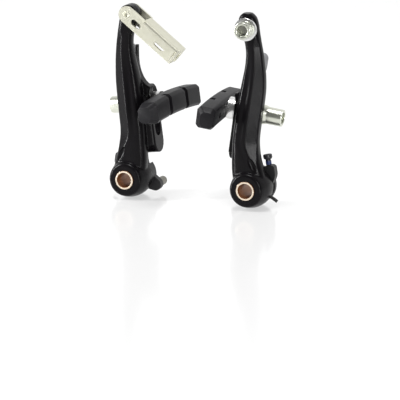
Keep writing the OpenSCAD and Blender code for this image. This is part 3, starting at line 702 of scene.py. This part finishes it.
def brake_pad(s):
    """Chamfered sections along the rim's curve, drawn in at both ends, then grooved."""
    stations = np.unique(np.concatenate([np.linspace(-1, 1, 61), [-0.88, 0.88, -0.97, 0.97]]))
    face, back, e = -PAD_BACK - PAD_T, -PAD_BACK, PAD_EDGE
    rings = []
    for v in stations:
        end = min(max((abs(v) - END_FROM) / END_RUN, 0), 1)
        half, front = PAD_H / 2 - PAD_EDGE * end, face + END_SETBACK * end
        ring = rounded([(front, e - half), (front, half - e), (front + e, half),
                        (back - e, half), (back, half - e), (back, e - half),
                        (back - e, -half), (front + e, -half)], 0.5, 3)
        y = v * PAD_LEN / 2
        drop = RIM_R - math.sqrt(RIM_R ** 2 - y * y)
        rings.append(np.column_stack([ring[:, 0], np.full(len(ring), y), ring[:, 1] - drop]))
    at = side(s) @ AT_PAD
    pad = piece("brake_pad", np.concatenate(rings),
                grid_faces(len(rings), len(rings[0]), caps=True), at)
    for y in (-PAD_LEN / 6, PAD_LEN / 6):
        cut(pad, block("groove", (face - 1, y - GROOVE_W / 2, -PAD_H),
                       (face + GROOVE_D, y + GROOVE_W / 2, PAD_H), at))
    dimple = revolve("dimple", rounded([(0.01, -0.5), (1.3, -0.5), (1.3, 2), (0.01, 2)], 0.2),
                     at @ shift(-PAD_BACK, -17, -0.6) @ OUTWARDS, 32)
    cut(pad, dimple)
    return bevel(pad, 0.22, 2, 50)


def pad_stud(place):
    """A threaded stud whose tip is drawn in."""
    return revolve("pad_stud", np.array([(0, 0)] + threads(STUD_R, 0.6, STUD_LEN, 1.0, 0.32)
                                        + [(2.5, STUD_LEN + 0.6), (0, STUD_LEN + 0.7)]),
                   place @ shift(-PAD_BACK, 0, 0) @ OUTWARDS, 48)


def washer(name, profile, place, edge=0.15):
    """A turned washer with its edges broken."""
    return revolve(name, rounded(profile, edge, 3), place, 96)


def pad_nut(place):
    """A flanged barrel with a hexagon socket."""
    at = place @ OUTWARDS @ shift(0, 0, NUT_SEAT)
    body = rounded([(STUD_HOLE_R, 0), (FLANGE_R, 0), (FLANGE_R, 1.3), (NUT_TAPER_R, 3.2),
                    (NUT_R, NUT_END), (STUD_HOLE_R, NUT_END)], 0.35, 4)
    ob = revolve("pad_nut", body, at)
    return cut(ob, prism("hexagon", circle(HEX_R + 0.35, 6), SOCKET_FROM, 12, at))


DOME = ([(DOME_HOLE_R, LUG_T / 2), (WASHER_R, LUG_T / 2)]
        + arc(DOME_R, math.acos(WASHER_R / DOME_R), math.acos(DOME_HOLE_R / DOME_R)))
CUP = ([(STUD_HOLE_R, PAD_BACK), (WASHER_R, PAD_BACK)]
       + arc(CUP_R, math.acos(WASHER_R / CUP_R), math.acos(STUD_HOLE_R / CUP_R)))
FLAT = [(STUD_HOLE_R, PAD_BACK), (FLAT_R, PAD_BACK), (FLAT_R, NUT_SEAT), (STUD_HOLE_R, NUT_SEAT)]

for s, name in SIDES:
    stud_at, pad_at = side(s) @ AT_STUD, side(s) @ AT_PAD
    finish_piece(brake_pad(s), name + "_pad", "pad_rubber", name + "_brake_pad", angle=30)
    finish_piece(pad_stud(pad_at), name + "_pad", "zinc_steel", name + "_pad_stud")
    for where, way in (("inner", INWARDS), ("outer", OUTWARDS)):
        finish_piece(washer(where + "_dome", DOME, stud_at @ way, 0.1), name + "_stud_seat",
                     "bright_steel", name + "_" + where + "_dome")
        finish_piece(washer(where + "_cup", CUP, pad_at @ way, 0.1), name + "_pad_clamp",
                     "bright_steel", name + "_" + where + "_cup")
    finish_piece(washer("flat_washer", FLAT, pad_at @ OUTWARDS), name + "_pad_clamp",
                 "bright_steel", name + "_flat_washer")
    finish_piece(pad_nut(pad_at), name + "_pad_clamp", "zinc_steel", name + "_pad_nut")
print("pads done")

# %% [markdown]
# ## Cable hardware
# The noodle link is one strip of sheet steel, folded to a channel. Its end wall has a round
# mouth with a slot, so that the cable's guide tube can be lifted out of it.

# %% The link, its pin, the anchor bolt and its washer
LINK_LEN, LINK_H, SHEET = 34.0, 9.0, 1.2
LINK_IN = 4.05                   # half of the room between the side plates
SPINE_FROM = 9.5
WINDOW_R, WINDOW_FROM, WINDOW_TO = 1.5, (5.4, -0.5), (8.6, -0.5)
SLOT_R, SLOT_FROM, SLOT_TO = 1.15, (21.8, -1.0), (26.2, -1.0)
MOUTH_R, CABLE_SLOT, FOLD_GAP = 2.3, 1.2, 0.35
PIN_R, PIN_DIMPLE_R, PIN_DIMPLE = 1.95, 0.85, 0.7
BOLT_R, BOLT_HEAD_R, BOLT_SOCKET = 2.95, 4.5, 3.2
BOLT_TIP, BOLT_SEAT, BOLT_TOP = 7.4, 18.6, 23.2
SOCKET_FLOOR = BOLT_TOP - BOLT_SOCKET
CLAMP_R, CABLE_R, CABLE_AT = 6.0, 0.8, -4.2


def noodle_link():
    """Two side plates with eyes, a folded spine and an end wall."""
    at = side(-1) @ AT_LINK
    out = LINK_IN + SHEET
    h = LINK_H / 2
    across = at @ turn("Y", 90) @ turn("Z", 90)      # outline (y, z), length along x
    sideways = at @ turn("X", 90)
    channel = rounded([(-out, -h), (-out, h), (out, h), (out, -h), (LINK_IN, -h),
                       (LINK_IN, h - SHEET), (-LINK_IN, h - SHEET), (-LINK_IN, -h)],
                      np.array([0.2, 1.6, 1.6, 0.2, 0.2, 0.5, 0.5, 0.2]), 6)
    body = prism("noodle_link", channel, SPINE_FROM, LINK_LEN - 0.2, across)
    plate = hull(circle(h), np.array([(SPINE_FROM + 0.5, -h), (SPINE_FROM + 0.5, h)]))
    for z in (LINK_IN, -out):
        cut(body, prism("eye", plate, z, z + SHEET, sideways), operation="UNION")
    wall = rounded([(-out, -h), (-out, h), (out, h), (out, -h)],
                   np.array([3.2, 1.6, 1.6, 3.2]), 8)
    cut(body, prism("wall", wall, LINK_LEN - SHEET, LINK_LEN, across), operation="UNION")
    window = hull(circle(WINDOW_R, 32, WINDOW_FROM), circle(WINDOW_R, 32, WINDOW_TO))
    slot = hull(circle(SLOT_R, 24, SLOT_FROM), circle(SLOT_R, 24, SLOT_TO))
    cutters = [prism("window", window, -8, 8, sideways), prism("slot", slot, -8, 8, sideways),
               rod("eye bore", LINK_HOLE_R, -8, 8, sideways, 48),
               rod("mouth", MOUTH_R, LINK_LEN - 3, LINK_LEN + 2, at @ turn("Y", 90), 48),
               block("cable slot", (LINK_LEN - 3, -CABLE_SLOT, -LINK_H),
                     (LINK_LEN + 2, CABLE_SLOT, 0), at)]
    for y in (-out - 1, LINK_IN):
        cutters.append(block("fold gap", (LINK_LEN - SHEET - FOLD_GAP, y, -LINK_H),
                             (LINK_LEN - SHEET, y + SHEET + 1, h - 1.8), at))
    cut(body, *cutters)
    return bevel(body, 0.16, 2, 50)


def link_pin(half, place):
    """A flush rivet with broken edges and a shallow dimple in each end."""
    barrel = rounded([(1.0, -half), (PIN_R, -half), (PIN_R, half), (1.0, half)], 0.18, 4)
    low = [(0, PIN_DIMPLE - half), (PIN_DIMPLE_R, PIN_DIMPLE - 0.1 - half)]
    high = [(PIN_DIMPLE_R, half + 0.1 - PIN_DIMPLE), (0, half - PIN_DIMPLE)]
    return revolve("link_pin", np.concatenate([low, barrel, high]), place)


def anchor_bolt(place):
    """A bolt with a smooth round head and a hexagon socket."""
    shank = ([(0, BOLT_TIP)] + threads(BOLT_R, BOLT_TIP + 0.2, BOLT_SEAT - 0.6, 1.0, 0.3)
             + [(BOLT_R, BOLT_SEAT)])
    head = rounded([(BOLT_R, BOLT_SEAT), (BOLT_HEAD_R - 0.9, BOLT_SEAT),
                    (BOLT_HEAD_R, BOLT_SEAT + 0.7), (BOLT_HEAD_R, BOLT_TOP),
                    (BOLT_R, BOLT_TOP)], 0.5, 6)
    ob = revolve("anchor_bolt", np.concatenate([shank, head, [(0, BOLT_TOP)]]), place)
    return cut(ob, prism("hexagon", circle(HEX_R, 6), SOCKET_FLOOR, BOLT_TOP + 1, place))


def clamp_washer(place):
    """The washer that holds the cable, with a groove for it across its back."""
    front, back = BOLT_SEAT, ANCHOR[1]
    ob = washer("anchor_washer", [(ANCHOR_HOLE_R, back), (CLAMP_R, back), (CLAMP_R, front),
                                  (ANCHOR_HOLE_R, front)], place, 0.25)
    return cut(ob, rod("cable groove", CABLE_R, -12, 12,
                       place @ shift(CABLE_AT, 0, back - 0.1) @ turn("X", 90), 24))


finish_piece(noodle_link(), "noodle_link", "zinc_link", "noodle_link", angle=40)
at_pin, at_anchor = side(-1) @ forwards(*LINK), side(1) @ forwards(ANCHOR[0], 0, ANCHOR[2])
pin_half = LINK_IN + SHEET + 0.08
finish_piece(link_pin(pin_half, at_pin), "left_arm", "zinc_link", "link_pin")
# Thin discs of darker steel at the bottom of each dimple: painted shade in the dimples.
for end in (0.66 - pin_half, pin_half - 0.7):
    finish_piece(rod("pin_dimple_shade_disc", 0.8, end, end + 0.04, at_pin, 32), "left_arm", "painted_shade_steel",
                 "link_pin")
finish_piece(anchor_bolt(at_anchor), "right_arm", "zinc_steel", "anchor_bolt")
# A thin disc of darker steel at the bottom of the socket: painted shade in the socket.
finish_piece(prism("socket_shade_disc", circle(HEX_R - 0.05, 6), SOCKET_FLOOR, SOCKET_FLOOR + 0.15,
                   at_anchor), "right_arm", "painted_shade_steel", "anchor_bolt")
finish_piece(clamp_washer(at_anchor), "right_arm", "bright_steel", "anchor_washer")
print("cable hardware done")

# %% [markdown]
# ## Studio
# The brake stands on a pale, slightly glossy floor that glows faintly, so that it runs out
# to white and still takes the shadow. The world is pale behind the brake and dim in front,
# where two narrow soft lights draw long highlights down the black arms.

# %% Floor
FLOOR_Z, FLOOR_HALF = -10.85, 1500               # millimetres
GLOW_FROM, GLOW_TO, GLOW_MIDDLE, GLOW_SIDES = 0.14, 0.5, 0.50, 0.10


def plain(name, colour, rough):
    """A finish of one colour, which glows white where its strength is set."""
    m = bpy.data.materials.new(name)
    m.use_nodes = True
    shader = m.node_tree.nodes["Principled BSDF"]
    shader.inputs["Base Color"].default_value = (*colour, 1)
    shader.inputs["Roughness"].default_value = rough
    shader.inputs["Emission Color"].default_value = (1, 1, 1, 1)
    return m


def ramp(tree, value, limits, socket, kind="LINEAR"):
    """Carries a value from the first two limits to the last two, and into a socket."""
    node = tree.nodes.new("ShaderNodeMapRange")
    node.interpolation_type = kind
    for name, limit in zip(("From Min", "From Max", "To Min", "To Max"), limits):
        node.inputs[name].default_value = limit
    tree.links.new(value, node.inputs["Value"])
    tree.links.new(node.outputs["Result"], socket)


def across_sight(tree):
    """The distance to either side of the line of sight over the floor, in metres."""
    place = tree.nodes.new("ShaderNodeTexCoord")
    along = tree.nodes.new("ShaderNodeVectorMath")
    along.operation = "DOT_PRODUCT"
    along.inputs[1].default_value = (math.cos(AZIMUTH), math.sin(AZIMUTH), 0)
    size = tree.nodes.new("ShaderNodeMath")
    size.operation = "ABSOLUTE"
    tree.links.new(place.outputs["Object"], along.inputs[0])
    tree.links.new(along.outputs["Value"], size.inputs[0])
    return size.outputs["Value"]


floor = block("floor", (-FLOOR_HALF, -FLOOR_HALF, FLOOR_Z - 1), (FLOOR_HALF, FLOOR_HALF, FLOOR_Z),
              np.eye(4))
pale = plain("floor", (0.35, 0.35, 0.35), 0.16)
ramp(pale.node_tree, across_sight(pale.node_tree), (GLOW_FROM, GLOW_TO, GLOW_MIDDLE, GLOW_SIDES),
     pale.node_tree.nodes["Principled BSDF"].inputs["Emission Strength"], "SMOOTHSTEP")
floor.data.materials.append(pale)

# %% World
DIM_FROM, PALE_FROM, DIM, PALE = -0.2, 0.75, 0.12, 0.95

world = bpy.data.worlds.new("studio")
bpy.context.scene.world = world
world.use_nodes = True
tree = world.node_tree
background = tree.nodes["Background"]
background.inputs["Color"].default_value = (1, 1, 1, 1)
direction = tree.nodes.new("ShaderNodeTexCoord")
split = tree.nodes.new("ShaderNodeSeparateXYZ")
tree.links.new(direction.outputs["Generated"], split.inputs["Vector"])
ramp(tree, split.outputs["Y"], (DIM_FROM, PALE_FROM, DIM, PALE), background.inputs["Strength"])


# %% Lights
def soft_light(name, location, target, wide, high, watts):
    """A rectangular light that looks at a target, in metres."""
    data = bpy.data.lights.new(name, "AREA")
    data.shape = "RECTANGLE"
    data.size, data.size_y, data.energy = wide, high, watts
    ob = bpy.data.objects.new(name, data)
    bpy.context.scene.collection.objects.link(ob)
    ob.location = location
    ob.rotation_euler = (Vector(target) - Vector(location)).to_track_quat("-Z", "Y").to_euler()


soft_light("right_strip", (0.42, -0.42, 0.18), (0, 0, 0.04), 0.05, 0.4, 2)
soft_light("left_strip", (-0.45, -0.22, 0.16), (0, 0, 0.04), 0.05, 0.4, 4.5)
soft_light("top", (0.0, -0.1, 0.7), (0, 0, 0), 0.22, 0.22, 3)
bpy.context.scene.view_settings.view_transform = "Standard"
